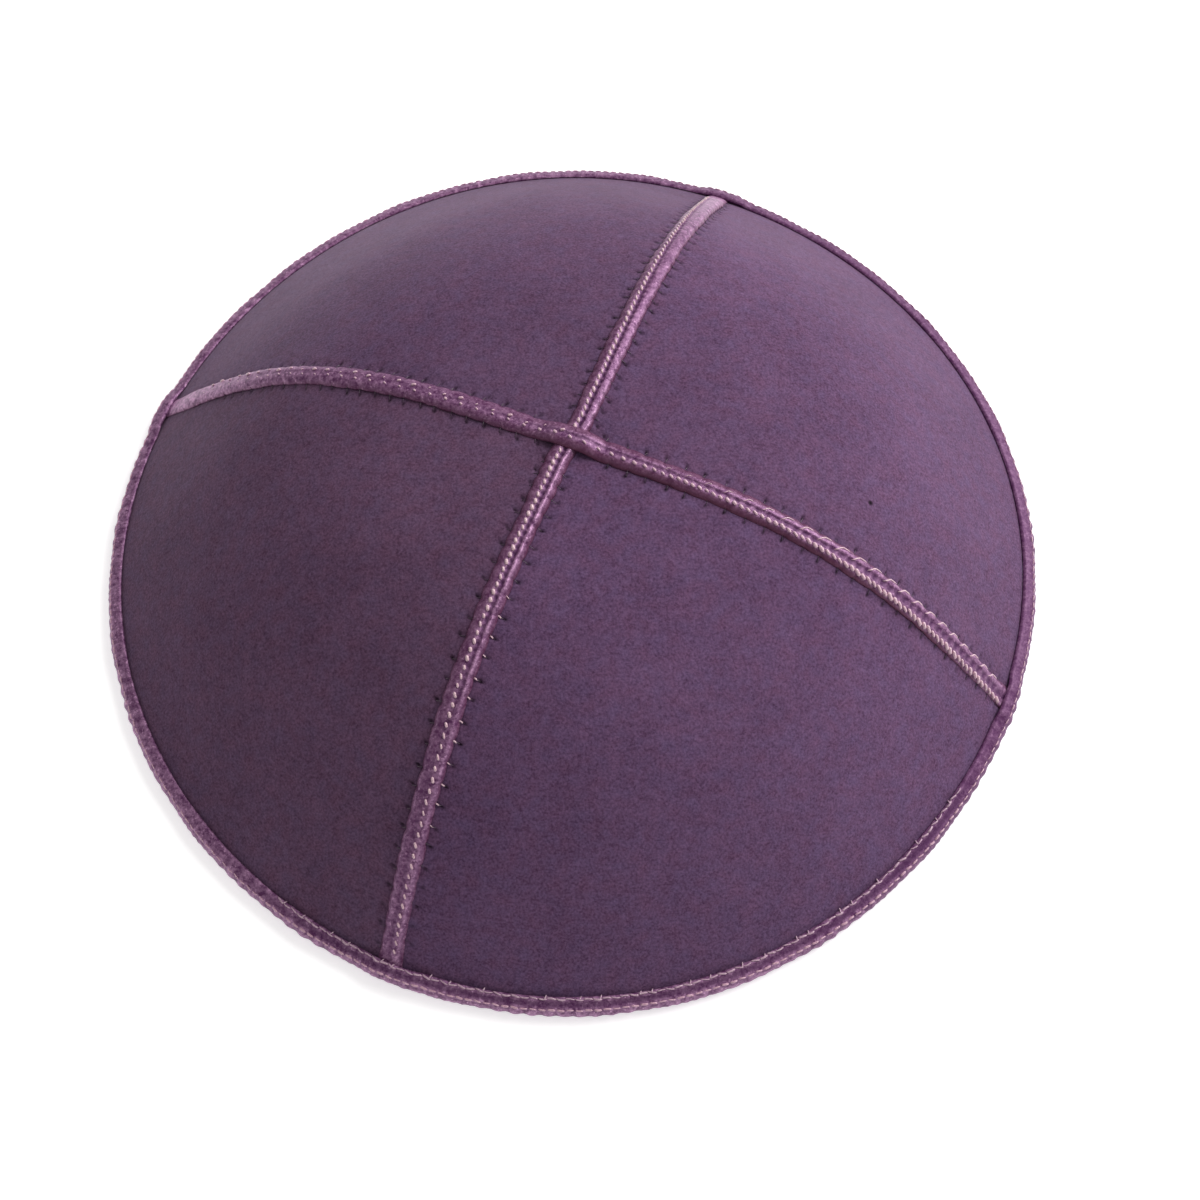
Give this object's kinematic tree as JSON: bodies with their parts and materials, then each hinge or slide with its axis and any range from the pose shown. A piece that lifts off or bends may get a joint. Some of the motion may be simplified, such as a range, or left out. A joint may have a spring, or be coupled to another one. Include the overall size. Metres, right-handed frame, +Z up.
{
  "type": "kippah",
  "caption": "Shallow domed skullcap sewn from suede panels, with leather strips crossed over its seams and a folded leather rim binding.",
  "frame": {"origin": "on the surface that the rim rests on, under the crown, at the middle of the rim", "axes": "+Z up through the crown, the way the cap lies on a table; -Y towards the panel nearest the viewer of the picture, +X to that viewer's right"},
  "size_m": [0.1694, 0.1732, 0.0424],
  "materials": {
    "suede": "dyed suede with a short even nap, matt",
    "trim_leather": "smooth pearly dyed leather, semi-gloss",
    "thread": "pale lilac sewing thread with a slight sheen"
  },
  "bodies": {
    "root": {"panel_back": "suede", "panel_left": "suede", "panel_front": "suede", "panel_right": "suede", "seam_strip_under": "trim_leather", "seam_strip_over": "trim_leather", "rim_binding": "trim_leather"}
  },
  "joints": []
}
